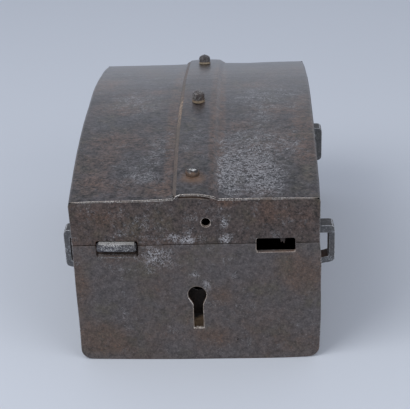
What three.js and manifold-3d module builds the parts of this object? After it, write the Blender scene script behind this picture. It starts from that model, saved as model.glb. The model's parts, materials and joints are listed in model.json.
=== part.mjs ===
// A small hand-forged iron strongbox with an arched lid, in millimetres.
// +X is to the right, +Y runs from the lock end to the hinge end, and +Z is up.
// The origin is on the floor, under the middle of the box.
import * as THREE from "three";
import { mergeVertices } from "three/addons/utils/BufferGeometryUtils.js";
import Module from "manifold-3d";

const wasm = await Module();
wasm.setup();

// Box
const boxWidth = 120;
const boxDepth = 198;
const bodyHeight = 64.7; // floor to seam
const sheet = 2; // body sheets and end walls
const bodyBend = 3; // inside radius of the two lower edges
const seamGap = 0.3; // daylight between lid and body
const seat = 0.2; // gap between sheets that are riveted face to face

// Lid
const lidEnd = 23.5; // seam to the lid's top at its two ends
const archRise = 14; // how far the middle of the lid stands above its ends
const lidSheet = 1.8;
const lidEdge = 1.6; // outside radius where the top folds down to a side
const lidOverhang = 0.3; // how far the plates pass the end walls
const foldSpare = 4; // depth of a fold that is trimmed off at the seam
const lidRebate = 0.7; // what is left of a plate where it is filed down over an end wall

// Lap along the middle of the lid
const lapEdge = -10.3; // cut edge of the upper plate
const lapBevel = 1.6; // how far that edge is filed off across
const lapEnd = 8.6; // where the upper plate starts to step down
const joggleLength = 3.4;
const lapHidden = 2; // how far short of the step the lower plate ends
const lapRamp = 2.4; // how far the end walls rise towards the lap outside its cut edge

// Windows at the seam: two for the hinges, one for the front lug, and one whose lug is lost
const windowInset = 11.8; // side of the box to a window
const windowWidth = 20;
const windowCorner = 0.9;
const windowBevel = 0.7; // worn lower lip
const hingeWindowAbove = 2.8; // seam to the window's top
const hingeWindowBelow = 4.4; // seam to the window's bottom
const lugWindowAbove = 2.3;
const lugWindowBelow = 5.2;
const emptyWindowWidth = 18.8;
const emptyWindowAbove = 2.5;
const emptyWindowBelow = 4.6;

// Knuckles and leaves
const knuckleRadius = 2.5;
const knuckleProud = 0.7; // how far a knuckle's axis lies outside the end wall
const knuckleSide = 0.5; // window's side to a knuckle
const knuckleGap = 0.25; // running gap between the three knuckles of a hinge
const pinRadius = 0.95;
const pinFit = 0.05;
const pinEnd = 0.3; // rounding at a pin's ends
const leafSheet = 1.5;
const leafBend = 0.5; // inside radius of a leaf's bend
const leafUp = 17; // seam to the top of a leaf in the lid
const leafDown = 21; // seam to the bottom of a leaf in the body
const leafRivetSpan = 10;
const leafRivetUp = 10; // seam to the rivets of a lid leaf
const leafRivetDown = 13; // seam to the rivets of a body leaf
const lugRadius = 2.6;
const lugDrop = 0.45; // how far the lug's axis lies below the seam
const lugEnd = 0.7; // rounding at its ends
const leafCut = 3.5; // knuckle's axis to where a leaf is cut back between its knuckles
const stubWidth = 3.2; // what is left of the lost lug's arm
const stubOffset = 3.4;
const stubHang = 2.2;

// Flanges turned in at the ends of the sheets
const flangeClear = 1; // window's side to a flange
const flangeLow = 10; // floor to the bottom of a body flange
const flangeDrop = 6.7; // seam to its top
const flangeRivetLow = 20; // floor to its lower rivet
const flangeRivetDrop = 15.7; // seam to its upper rivet
const lidFlangeLow = 3.5; // seam to the bottom of a lid flange
const lidFlangeHigh = 18;
const lidFlangeRivet = 10.5;

// Flush rivets
const rivetRadius = 1.4;
const rivetHead = 2.4; // radius of the countersunk head
const rivetSink = 1.1; // depth of the countersink
const rivetDome = 1.3; // height of the clenched end
const rivetFit = 0.06;

// Ridge rivets
const ridgeRadius = 3.3;
const ridgeShank = 1.9;
const ridgeProud = 5.6;
const ridgeWorn = 2.5; // height of the front one, which is worn down
const ridgeRound = 1.4; // height of the rounding at their tops
const ridgeFront = 16; // lid's front end to the first rivet
const ridgeMiddle = -10; // middle of the lid to the second
const ridgeRear = 29; // lid's rear end to the third
const ridgeX = -0.2; // the row's middle
const ridgeDrift = 0.6; // each one sits this much to the right of the one before it
const ridgeFit = 0.1;

// Strap loops
const loopWidth = 8.5; // along the box
const loopSheet = 3.1;
const loopShoulder = 4.2; // thickness of the upper arm
const loopReach = 8.9; // how far a loop stands out from the side
const loopDrop = 6.3; // seam to the top of a loop
const loopHeight = 20.6; // its top to its lower corner
const loopLean = 1.6; // how far the lower arm drops towards the side
const loopInset = 34; // box end to the middle of a loop
const loopCorner = 2.4; // worn roundness of the outer corners
const tenonWidth = 5;
const tenonHeight = 2;
const tenonHead = 1.1; // thickness of the clenched end
const tenonSpread = 1; // how far that end passes the hole
const tenonFit = 0.15;

// Keyhole and small hole
const keyX = -0.15;
const keyDrop = 28.05; // seam to the key's axis
const keyRound = 4.55; // radius
const keySlot = 4.7; // width
const keyShift = 0.25; // how far the slot lies to the right of the round
const keyReach = 18.9; // key's axis to the slot's foot
const keyNeck = 5.5; // key's axis to where the slot's sides are straight
const holeX = 5.3;
const holeUp = 11.15; // seam to the small hole
const holeRadius = 2.2;

// Lock
const caseSheet = 1.6;
const caseDepth = 12; // end wall to the outside of the case
const caseSlack = 3; // keyhole's foot to the case's lower end
const caseDrop = 0.5; // seam to its upper end
const caseBend = 0.8;
const footWidth = 8;
const footHeight = 26.6;
const footRivetInset = 6; // foot's ends to its rivets
const noseRadius = 4.2; // hole that carries the key's nose
const boltRise = 15.9; // key's axis to the bolt's lower edge
const boltHeight = 7.8;
const boltSheet = 3.5;
const boltY = 5.75; // end wall to the middle of the bolt
const boltGuide = 1.9; // how far the bolt's tail passes the case when it is shot
const boltThrow = 9.5;
const boltFit = 0.35;
const boltTip = 0.3; // how far the bolt's end passes the case
const talonWidth = 7;
const talonDepth = 2.8;
const studInset = 6; // case's left cheek to the stud
const slotFloor = 0.8; // what is left of the bolt between its notch and the stud's slot
const studRadius = 1.5;
const studFit = 0.25;
const springSheet = 0.6;
const springWidth = 4;
const springRise = 1.7; // how far the ends stand above the belly
const springHook = 1.2;
const springGap = 0.3;
const springStart = 2; // case's left cheek to where it starts to bow
const springBelly = 1; // key's axis to its lowest point
const springEnd = 3; // its free end to the case's right cheek
const springBends = [0.3, 4, 6]; // inside radii
const wardRadius = 8;
const wardSheet = 1.2;
const wardDepth = 3;
const wardOpening = 100; // degrees left open for the key's bit

// Lid hook
const hookSide = 0.35; // bolt's end to the hook
const hookClear = 3; // hook to the broken leaf
const hookWidth = 7;
const hookSheet = 2;
const hookCrank = 1.2; // how far it is set in from the lid wall
const hookBend = 0.8;
const hookPlay = 0.6; // room round the bolt
const hookStep = [2, -1]; // seam to where it starts and ends stepping in
const hookProng = 1; // how far its rear prong passes the bolt
const hookRivetLow = 6; // seam to its rivets
const hookRivetHigh = 13;

// How far a cutter runs past what it cuts
const past = 1;

// Facets
const roundSteps = 10; // rivets and their holes
const ridgeSteps = 16;
const fineSteps = 20; // keyhole and knuckles
const bendSteps = 4;
const joggleSteps = 6;
const cornerSteps = 3;
const archSteps = 240; // a full turn of the lid's arch

// Derived places
const halfWidth = boxWidth / 2;
const halfDepth = boxDepth / 2;
const wallFace = halfDepth - sheet; // inner face of an end wall
const lidTop = bodyHeight + lidEnd;
const archRadius = (halfDepth ** 2 + archRise ** 2) / (2 * archRise);
const archCentre = lidTop + archRise - archRadius;
const lapStep = lidSheet + seat;
const bodyTop = bodyHeight - seamGap / 2;
const lidBottom = bodyHeight + seamGap / 2;
const endWallTop = lidTop - lidRebate;
const knuckleY = halfDepth + knuckleProud;
const knuckleWidth = windowWidth - 2 * knuckleSide;
const stubLeafWidth = emptyWindowWidth - 2 * knuckleSide;
const windowSpan = halfWidth - windowInset - windowWidth / 2;
const emptyWindowX = halfWidth - windowInset - emptyWindowWidth / 2;
const flangeTip = halfWidth - windowInset + flangeClear;
const flangeRivetX = (halfWidth - sheet + flangeTip) / 2;
const keyZ = bodyHeight - keyDrop;
const boltBottom = keyZ + boltRise;
const boltTop = boltBottom + boltHeight;
const hookRoom = hookSide + hookWidth + hookClear;
const caseInside = emptyWindowX - stubLeafWidth / 2 - keyX - hookRoom - boltTip - caseSheet;
const hookX = caseInside + caseSheet + boltTip + hookSide + hookWidth / 2;
const caseBottom = keyZ - keyReach - caseSlack;
const caseTop = bodyHeight - caseDrop;
const caseBack = -wallFace + caseDepth;
const studX = studInset - caseInside;
const studZ = boltBottom + talonDepth + slotFloor + studRadius + studFit;
const loopTop = bodyHeight - loopDrop;

const iron = new THREE.MeshStandardMaterial({ color: 0x5a5552, roughness: 0.62, metalness: 0.85 });
const lidIron = new THREE.MeshStandardMaterial({ color: 0x67625f, roughness: 0.55, metalness: 0.85 });
const steel = new THREE.MeshStandardMaterial({ color: 0x8b8d90, roughness: 0.35, metalness: 1 });
const darkIron = new THREE.MeshStandardMaterial({ color: 0x46464a, roughness: 0.5, metalness: 0.9 });
const lockIron = new THREE.MeshStandardMaterial({ color: 0x4d453e, roughness: 0.7, metalness: 0.8 });

const box = new THREE.Group();

// A closed geometry as a solid that can be joined and cut.
function solid(geometry) {
  const bare = geometry.clone();
  bare.deleteAttribute("normal");
  bare.deleteAttribute("uv");
  const merged = mergeVertices(bare, 1e-4);
  const index = new Uint32Array(merged.index.array);
  return new wasm.Manifold(
    new wasm.Mesh({ numProp: 3, vertProperties: merged.attributes.position.array, triVerts: index }),
  );
}

// A solid as a named mesh of the model.
function addPiece(name, made, material, parent = box) {
  const mesh = made.getMesh();
  const geometry = new THREE.BufferGeometry();
  geometry.setAttribute("position", new THREE.BufferAttribute(mesh.vertProperties, 3));
  geometry.setIndex(new THREE.BufferAttribute(mesh.triVerts, 1));
  geometry.computeVertexNormals();
  const piece = new THREE.Mesh(geometry, material);
  piece.name = name;
  parent.add(piece);
  return piece;
}

function block(x0, x1, y0, y1, z0, z1) {
  const geometry = new THREE.BoxGeometry(x1 - x0, y1 - y0, z1 - z0);
  return solid(geometry.translate((x0 + x1) / 2, (y0 + y1) / 2, (z0 + z1) / 2));
}

// An outline pushed from one place to another along an axis. On "x" the outline is drawn in (y, z),
// on "y" in (x, z), and on "z" in (x, y).
function prism(axis, outline, from, to, curveSteps = cornerSteps) {
  const geometry = new THREE.ExtrudeGeometry(outline, {
    depth: to - from,
    bevelEnabled: false,
    curveSegments: curveSteps,
  });
  const X = new THREE.Vector3(1, 0, 0);
  const Y = new THREE.Vector3(0, 1, 0);
  const Z = new THREE.Vector3(0, 0, 1);
  const turn = new THREE.Matrix4();
  if (axis === "x") {
    geometry.applyMatrix4(turn.makeBasis(Y, Z, X)).translate(from, 0, 0);
  } else if (axis === "y") {
    geometry.applyMatrix4(turn.makeBasis(X, Z, Y.negate())).translate(0, to, 0);
  } else {
    geometry.translate(0, 0, from);
  }
  return solid(geometry);
}

// A profile of (radius, distance) pairs turned about the Y axis, as a geometry.
function turned(profile, steps) {
  const points = profile.map(([radius, along]) => new THREE.Vector2(radius, along));
  return new THREE.LatheGeometry(points, steps);
}

// Points of a profile over a domed end, from its rim to its middle.
function dome(radius, base, height, steps) {
  const points = [];
  for (let k = 0; k <= steps; k++) {
    const angle = (Math.PI / 2) * (k / steps);
    points.push([k < steps ? radius * Math.cos(angle) : 0, base + height * Math.sin(angle)]);
  }
  return points;
}

function roundBar(radius, length, end, steps) {
  const half = length / 2;
  return turned([[0, -half], [radius - end, -half], [radius, end - half],
    [radius, half - end], [radius - end, half], [0, half]], steps);
}

// The outline of a strip of sheet that follows a line of corners, bent round inside radii.
function strip(corners, inside, thickness) {
  const points = corners.map(([a, b]) => new THREE.Vector2(a, b));
  const left = [];
  const right = [];
  const put = (at, normal) => {
    left.push(at.clone().addScaledVector(normal, thickness / 2));
    right.push(at.clone().addScaledVector(normal, -thickness / 2));
  };
  const heading = (i) => points[i + 1].clone().sub(points[i]).normalize();
  const leftOf = (v) => new THREE.Vector2(-v.y, v.x);
  put(points[0], leftOf(heading(0)));
  for (let i = 1; i < points.length - 1; i++) {
    const radius = (Array.isArray(inside) ? inside[i - 1] : inside) + thickness / 2;
    const before = heading(i - 1);
    const after = heading(i);
    const angle = Math.atan2(before.cross(after), before.dot(after));
    const back = radius * Math.tan(Math.abs(angle) / 2);
    const start = points[i].clone().addScaledVector(before, -back);
    const side = Math.sign(angle);
    const centre = start.clone().addScaledVector(leftOf(before), side * radius);
    for (let k = 0; k <= bendSteps; k++) {
      const spoke = start.clone().sub(centre).rotateAround(new THREE.Vector2(), (angle * k) / bendSteps);
      put(centre.clone().add(spoke), spoke.clone().normalize().multiplyScalar(-side));
    }
  }
  put(points[points.length - 1], leftOf(heading(points.length - 2)));
  return new THREE.Shape([...left, ...right.reverse()]);
}

function roundedRectangle(x0, x1, z0, z1, radius) {
  const outline = new THREE.Shape();
  outline.moveTo(x0 + radius, z0);
  outline.lineTo(x1 - radius, z0);
  outline.absarc(x1 - radius, z0 + radius, radius, -Math.PI / 2, 0);
  outline.lineTo(x1, z1 - radius);
  outline.absarc(x1 - radius, z1 - radius, radius, 0, Math.PI / 2);
  outline.lineTo(x0 + radius, z1);
  outline.absarc(x0 + radius, z1 - radius, radius, Math.PI / 2, Math.PI);
  outline.lineTo(x0, z0 + radius);
  outline.absarc(x0 + radius, z0 + radius, radius, Math.PI, Math.PI * 1.5);
  return outline;
}

// Flush rivets. Each one lies along +Y from the outer face of an end wall inwards.
const rivetSeats = [];

function rivetGeometry(grip) {
  return turned([[0, 0], [rivetHead, 0], [rivetRadius, rivetSink], [rivetRadius, grip],
    ...dome(rivetHead, grip, rivetDome, 2)], roundSteps);
}

function rivetHole(grip) {
  return turned([[0, -past], [rivetHead + rivetFit, -past], [rivetHead + rivetFit, 0],
    [rivetRadius + rivetFit, rivetSink], [rivetRadius + rivetFit, grip + past], [0, grip + past]], roundSteps);
}

// The front end is at side -1 and the rear end at side 1.
function atEnd(geometry, x, z, side) {
  if (side > 0) geometry.rotateZ(Math.PI);
  return geometry.translate(x, side * halfDepth, z);
}

function addRivet(name, x, z, side, under, material = iron) {
  const grip = sheet + seat + under + rivetFit;
  rivetSeats.push({ x, z, side, grip });
  addPiece(name, solid(atEnd(rivetGeometry(grip), x, z, side)), material);
}

function placeRivets() {
  for (const side of [-1, 1]) {
    const end = side < 0 ? "front" : "rear";
    for (const hand of [-1, 1]) {
      const flank = hand < 0 ? "left" : "right";
      const x = hand * flangeRivetX;
      addRivet(`${end}_plate_rivet_${flank}_lower`, x, flangeRivetLow, side, sheet);
      addRivet(`${end}_plate_rivet_${flank}_upper`, x, bodyHeight - flangeRivetDrop, side, sheet);
      addRivet(`lid_${end}_rivet_${flank}`, x, bodyHeight + lidFlangeRivet, side, lidSheet);
      const middle = windowMiddle(hand, side);
      ["outer", "inner"].forEach((place, i) => {
        const at = middle + hand * (0.5 - i) * leafRivetSpan;
        const owner = side > 0 ? `hinge_${flank}_lid` : hand < 0 ? "front_lug" : "broken_leaf";
        addRivet(`${owner}_rivet_${place}`, at, bodyHeight + leafRivetUp, side, leafSheet);
        if (side > 0) {
          addRivet(`hinge_${flank}_body_rivet_${place}`, at, bodyHeight - leafRivetDown, side, leafSheet);
        }
      });
      ["lower", "upper"].forEach((place, i) => {
        const at = keyX + hand * (caseInside + caseSheet + footWidth / 2);
        const z = caseBottom + (i === 0 ? footRivetInset : footHeight - footRivetInset);
        if (side < 0) addRivet(`lock_case_rivet_${flank}_${place}`, at, z, side, caseSheet, lockIron);
      });
    }
  }
  ["lower", "upper"].forEach((place, i) => {
    const up = i === 0 ? hookRivetLow : hookRivetHigh;
    addRivet(`lid_hook_rivet_${place}`, keyX + hookX, bodyHeight + up, -1, hookSheet);
  });
}

// Cuts a piece with every rivet hole on its end whose middle lies in a box of x and z.
function drilled(piece, side, x0, x1, z0, z1) {
  const through = rivetSeats.filter(
    (r) => r.side === side && r.x > x0 && r.x < x1 && r.z > z0 && r.z < z1,
  );
  return through.reduce((cut, r) => cut.subtract(solid(atEnd(rivetHole(r.grip), r.x, r.z, side))), piece);
}

// The empty window is at the front, on the right.
function isEmpty(hand, side) {
  return hand > 0 && side < 0;
}

function windowMiddle(hand, side) {
  return isEmpty(hand, side) ? emptyWindowX : hand * windowSpan;
}

function windowSpread(hand, side) {
  return isEmpty(hand, side) ? emptyWindowWidth : windowWidth;
}

function windowFoot(hand, side) {
  if (side > 0) return bodyHeight - hingeWindowBelow;
  return bodyHeight - (isEmpty(hand, side) ? emptyWindowBelow : lugWindowBelow);
}

function windowHead(hand, side) {
  if (side > 0) return bodyHeight + hingeWindowAbove;
  return bodyHeight + (isEmpty(hand, side) ? emptyWindowAbove : lugWindowAbove);
}

function windowCutter(hand, side) {
  const middle = windowMiddle(hand, side);
  const half = windowSpread(hand, side) / 2;
  const outline = roundedRectangle(middle - half, middle + half, windowFoot(hand, side), windowHead(hand, side),
    windowCorner);
  const y0 = (side < 0 ? -halfDepth : wallFace) - past;
  return prism("y", outline, y0, y0 + sheet + 2 * past);
}

// Where the middle surface of a sheet seated on an end wall lies.
function seated(side, thickness) {
  return side * (wallFace - seat - thickness / 2);
}

// Body: one sheet makes the bottom and both sides, and its ends are turned in as flanges.
function bodyWrap() {
  const x = halfWidth - sheet / 2;
  const outline = strip([[-x, bodyTop], [-x, sheet / 2], [x, sheet / 2], [x, bodyTop]], bodyBend, sheet);
  let wrap = prism("y", outline, seat - wallFace, wallFace - seat);
  for (const side of [-1, 1]) {
    const near = side * (wallFace - seat);
    const far = side * (wallFace - seat - sheet);
    for (const hand of [-1, 1]) {
      const root = hand * (halfWidth - sheet / 2);
      const tip = hand * flangeTip;
      wrap = wrap.add(block(Math.min(root, tip), Math.max(root, tip), Math.min(near, far), Math.max(near, far),
        flangeLow, bodyHeight - flangeDrop));
    }
    wrap = drilled(wrap, side, -halfWidth, -flangeTip, 0, bodyHeight);
    wrap = drilled(wrap, side, flangeTip, halfWidth, 0, bodyHeight);
  }
  for (const hand of [-1, 1]) {
    for (const side of [-1, 1]) {
      const y = side * (halfDepth - loopInset);
      const half = tenonWidth / 2 + tenonFit;
      for (const z of tenonHeights()) {
        const tall = tenonHeight / 2 + tenonFit;
        const inner = hand * (halfWidth - sheet - past);
        const outer = hand * (halfWidth + past);
        wrap = wrap.subtract(block(Math.min(inner, outer), Math.max(inner, outer),
          y - half, y + half, z - tall, z + tall));
      }
    }
  }
  addPiece("body_wrap", wrap, iron);
}

function bodyPlate(side) {
  const radius = bodyBend + sheet;
  const outline = new THREE.Shape();
  outline.moveTo(-halfWidth, bodyTop);
  outline.lineTo(-halfWidth, radius);
  outline.absarc(radius - halfWidth, radius, radius, Math.PI, Math.PI * 1.5);
  outline.lineTo(halfWidth - radius, 0);
  outline.absarc(halfWidth - radius, radius, radius, -Math.PI / 2, 0);
  outline.lineTo(halfWidth, bodyTop);
  const y0 = side < 0 ? -halfDepth : wallFace;
  let plate = prism("y", outline, y0, y0 + sheet);
  for (const hand of [-1, 1]) {
    plate = plate.subtract(windowCutter(hand, side)).subtract(lipBevel(hand, side));
  }
  return drilled(plate, side, -halfWidth, halfWidth, 0, bodyHeight);
}

// The worn lower lip of a window: a slanted cut along its outer edge.
function lipBevel(hand, side) {
  const z = windowFoot(hand, side);
  const face = side * halfDepth;
  const outline = new THREE.Shape();
  outline.moveTo(face + side * past, z - windowBevel - past);
  outline.lineTo(face + side * past, z + past);
  outline.lineTo(face - side * (windowBevel + past), z + past);
  const half = windowSpread(hand, side) / 2 - windowCorner / 2;
  const middle = windowMiddle(hand, side);
  return prism("x", outline, middle - half, middle + half);
}

// A round with a slot below, joined by straight sides that leave the round at a tangent.
function keyholeCutter() {
  const outline = new THREE.Shape();
  const right = keyShift + keySlot / 2;
  const left = keyShift - keySlot / 2;
  const leave = (x) => Math.acos(keyRound / Math.hypot(x, keyNeck)) - Math.atan2(keyNeck, Math.abs(x));
  outline.moveTo(keyX + left, keyZ - keyReach);
  outline.lineTo(keyX + right, keyZ - keyReach);
  outline.lineTo(keyX + right, keyZ - keyNeck);
  outline.absarc(keyX, keyZ, keyRound, leave(right), Math.PI - leave(left));
  outline.lineTo(keyX + left, keyZ - keyNeck);
  return prism("y", outline, -halfDepth - past, past - wallFace, fineSteps / 2);
}

function bodyPlates() {
  const studHole = solid(atEnd(studGeometry(rivetFit), keyX + studX, studZ, -1));
  const front = bodyPlate(-1).subtract(keyholeCutter()).subtract(studHole);
  addPiece("front_plate", front, iron);
  addPiece("rear_plate", bodyPlate(1), iron);
}

// Strap loops, each with two tenons through the side, clenched inside.
function tenonHeights() {
  const toe = loopTop - loopHeight - loopLean + loopSheet;
  return [loopTop - loopShoulder / 2, toe - loopSheet / 2];
}

function loopOutline() {
  const side = halfWidth + seat;
  const out = halfWidth + loopReach;
  const heel = loopTop - loopHeight;
  const toe = heel - loopLean;
  const inner = out - loopSheet;
  const outline = new THREE.Shape();
  outline.moveTo(side, loopTop);
  outline.lineTo(side, loopTop - loopShoulder);
  outline.lineTo(inner, loopTop - loopShoulder);
  outline.lineTo(inner, heel + loopSheet);
  outline.lineTo(side, toe + loopSheet);
  outline.lineTo(side, toe);
  outline.lineTo(out - loopCorner, heel - loopLean * (loopCorner / (out - side)));
  outline.quadraticCurveTo(out, heel, out, heel + loopCorner);
  outline.lineTo(out, loopTop - loopCorner);
  outline.quadraticCurveTo(out, loopTop, out - loopCorner, loopTop);
  return outline;
}

function strapLoop() {
  let loop = prism("y", loopOutline(), -loopWidth / 2, loopWidth / 2);
  for (const z of tenonHeights()) {
    const inner = halfWidth - sheet - seat;
    loop = loop.add(block(inner - tenonHead, halfWidth + past, -tenonWidth / 2, tenonWidth / 2,
      z - tenonHeight / 2, z + tenonHeight / 2));
    const spread = tenonSpread;
    const head = roundedRectangle(-tenonWidth / 2 - spread, tenonWidth / 2 + spread,
      z - tenonHeight / 2 - spread, z + tenonHeight / 2 + spread, spread);
    loop = loop.add(prism("x", head, inner - tenonHead, inner));
  }
  return loop;
}

function strapLoops() {
  const loop = strapLoop();
  for (const hand of [-1, 1]) {
    for (const side of [-1, 1]) {
      const name = `loop_${side < 0 ? "front" : "rear"}_${hand < 0 ? "left" : "right"}`;
      const piece = addPiece(name, loop, darkIron);
      piece.position.y = side * (halfDepth - loopInset);
      if (hand < 0) piece.rotation.z = Math.PI;
    }
  }
}

// A bent leaf that ends in a rolled knuckle or a bar. The wall it seats on is at y = 0 of its
// outline, the knuckle's axis is the origin of (y, z), and up is 1 in the lid and -1 in the body.
function leafOutline(up, reach, radius = knuckleRadius) {
  const arm = up * (radius - leafSheet / 2);
  const plate = -(knuckleProud + sheet + seat + leafSheet / 2);
  return strip([[plate, up * reach], [plate, arm], [0, arm]], leafBend, leafSheet);
}

function knuckleBar(radius, x0, x1, end, steps) {
  const geometry = roundBar(radius, x1 - x0, end, steps).rotateZ(-Math.PI / 2);
  return solid(geometry.translate((x0 + x1) / 2, 0, 0));
}

// Everything of a leaf is made for the rear end and turned round for the front one.
function leafPiece(side, made, middle, drop = 0) {
  const turnedRound = side > 0 ? made : made.rotate([0, 0, 180]);
  return turnedRound.translate([middle, side * knuckleY, bodyHeight - drop]);
}

function hingeLeaf(hand, up) {
  const half = knuckleWidth / 2;
  const third = (knuckleWidth - 2 * knuckleGap) / 3;
  const inner = third / 2;
  const spans = up > 0 ? [[-inner, inner]] : [[-half, third - half], [half - third, half]];
  const reach = up > 0 ? leafUp : leafDown;
  const bend = knuckleProud + sheet + seat;
  let leaf = prism("x", leafOutline(up, reach), -half, half);
  // Between its knuckles a leaf is cut back to its plate.
  leaf = leaf.subtract(block(-half - past, half + past, -bend, knuckleRadius, -leafCut, leafCut));
  for (const [x0, x1] of spans) {
    leaf = leaf.add(prism("x", leafOutline(up, leafCut), x0, x1));
    leaf = leaf.add(knuckleBar(knuckleRadius, x0, x1, 0, fineSteps));
  }
  leaf = leaf.subtract(knuckleBar(pinRadius + pinFit, -half - past, half + past, 0, fineSteps));
  leaf = leafPiece(1, leaf, hand * windowSpan);
  return drilled(leaf, 1, hand * windowSpan - half, hand * windowSpan + half,
    up > 0 ? bodyHeight : 0, up > 0 ? lidTop : bodyHeight);
}

function hinges() {
  for (const hand of [-1, 1]) {
    const flank = hand < 0 ? "left" : "right";
    addPiece(`hinge_${flank}_body_leaf`, hingeLeaf(hand, -1), darkIron);
    addPiece(`hinge_${flank}_lid_leaf`, hingeLeaf(hand, 1), darkIron);
    const pin = knuckleBar(pinRadius, -knuckleWidth / 2, knuckleWidth / 2, pinEnd, fineSteps);
    addPiece(`hinge_${flank}_pin`, leafPiece(1, pin, hand * windowSpan), steel);
  }
}

// The bright bar in the left front window, on its leaf inside the lid wall.
function frontLug() {
  const half = knuckleWidth / 2;
  let lug = prism("x", leafOutline(1, leafUp + lugDrop, lugRadius), -half + lugEnd, half - lugEnd);
  lug = lug.add(knuckleBar(lugRadius, -half, half, lugEnd, fineSteps));
  lug = leafPiece(-1, lug, -windowSpan, lugDrop);
  return drilled(lug, -1, -windowSpan - half, half - windowSpan, bodyHeight, lidTop);
}

// The leaf whose lug has broken off: a plate above the right front window and a scrap of its arm.
function brokenLeaf() {
  const half = stubLeafWidth / 2;
  const y = seated(-1, leafSheet);
  const low = bodyHeight + emptyWindowAbove + seat;
  const scrapX = emptyWindowX + stubOffset;
  const outline = new THREE.Shape();
  outline.moveTo(emptyWindowX - half, low);
  outline.lineTo(emptyWindowX - half, bodyHeight + leafUp);
  outline.lineTo(emptyWindowX + half, bodyHeight + leafUp);
  outline.lineTo(emptyWindowX + half, low);
  outline.lineTo(scrapX + stubWidth / 2, low);
  outline.lineTo(scrapX + stubWidth / 4, low - stubHang);
  outline.lineTo(scrapX, low - stubHang * 0.6);
  outline.lineTo(scrapX - stubWidth / 4, low - stubHang * 0.8);
  outline.lineTo(scrapX - stubWidth / 2, low);
  const leaf = prism("y", outline, y - leafSheet / 2, y + leafSheet / 2);
  return drilled(leaf, -1, emptyWindowX - half, emptyWindowX + half, bodyHeight, lidTop);
}

// The outline of a lid end wall. Its top rises under the lap, where the upper plate steps up.
function lidWallOutline(grown = 0) {
  const top = endWallTop + grown;
  const out = halfWidth + grown;
  const outline = new THREE.Shape();
  outline.moveTo(-out, lidBottom - grown);
  outline.lineTo(out, lidBottom - grown);
  outline.lineTo(out, top - lidEdge);
  outline.absarc(out - lidEdge, top - lidEdge, lidEdge, 0, Math.PI / 2);
  outline.lineTo(lapEnd + joggleLength + grown, top);
  outline.lineTo(lapEnd + grown, top + lapStep);
  outline.lineTo(lapEdge - grown, top + lapStep);
  outline.lineTo(lapEdge - lapRamp - grown, top);
  outline.lineTo(lidEdge - out, top);
  outline.absarc(lidEdge - out, top - lidEdge, lidEdge, Math.PI / 2, Math.PI);
  return outline;
}

// Lid: each top plate is a section turned about the arch's own axis, then trimmed to the box.
function turnedPlate(profile) {
  const ring = new THREE.LatheGeometry(
    [...profile, profile[0]].map(([x, radius]) => new THREE.Vector2(radius, x)), archSteps);
  ring.rotateZ(-Math.PI / 2).translate(0, 0, archCentre);
  const reach = halfDepth + lidOverhang;
  const keep = block(-boxWidth, boxWidth, -reach, reach, lidBottom, lidTop + archRise + 2 * lapStep);
  let plate = solid(ring).intersect(keep);
  for (const side of [-1, 1]) {
    const inner = side * (wallFace - seat);
    const outer = side * (reach + past);
    plate = plate.subtract(prism("y", lidWallOutline(seat), Math.min(inner, outer), Math.max(inner, outer)));
  }
  return plate;
}

// Points of the folded edge, from the side wall's foot to the top, on the side of hand.
function foldedEdge(hand, radius, offset) {
  const points = [[hand * (halfWidth - offset), archRadius - archRise - lidEnd - foldSpare]];
  for (let k = 0; k <= bendSteps; k++) {
    const angle = (Math.PI / 2) * (k / bendSteps);
    const x = halfWidth - offset - radius * (1 - Math.cos(angle));
    points.push([hand * x, archRadius - offset - radius * (1 - Math.sin(angle))]);
  }
  return points;
}

function lidFlanges(plate, hand) {
  let made = plate;
  for (const side of [-1, 1]) {
    const near = side * (wallFace - seat);
    const far = side * (wallFace - seat - lidSheet);
    const root = hand * (halfWidth - lidSheet / 2);
    const tip = hand * flangeTip;
    made = made.add(block(Math.min(root, tip), Math.max(root, tip), Math.min(near, far), Math.max(near, far),
      bodyHeight + lidFlangeLow, bodyHeight + lidFlangeHigh));
    const x0 = hand < 0 ? -halfWidth : flangeTip;
    made = drilled(made, side, x0, x0 + halfWidth - flangeTip, bodyHeight, lidTop);
  }
  return made;
}

// The ridge rivets are numbered -1, 0 and 1 from front to rear.
function ridgePlace(k) {
  const y = [ridgeFront - halfDepth, ridgeMiddle, halfDepth - ridgeRear][k + 1];
  return { x: ridgeX + k * ridgeDrift, angle: Math.asin(y / archRadius) };
}

// Turns a piece made about the vertical at the lid's crown out to its place along the arch.
function alongArch(geometry, k) {
  const { x, angle } = ridgePlace(k);
  return geometry.rotateX(Math.PI / 2).translate(x, 0, archRadius).rotateX(-angle).translate(0, 0, archCentre);
}

function ridgeHoles(plate) {
  const bar = (k) => alongArch(roundBar(ridgeShank + ridgeFit, 4 * lidSheet + 2 * lapStep, 0, roundSteps), k);
  return [-1, 0, 1].reduce((cut, k) => cut.subtract(solid(bar(k))), plate);
}

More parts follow.
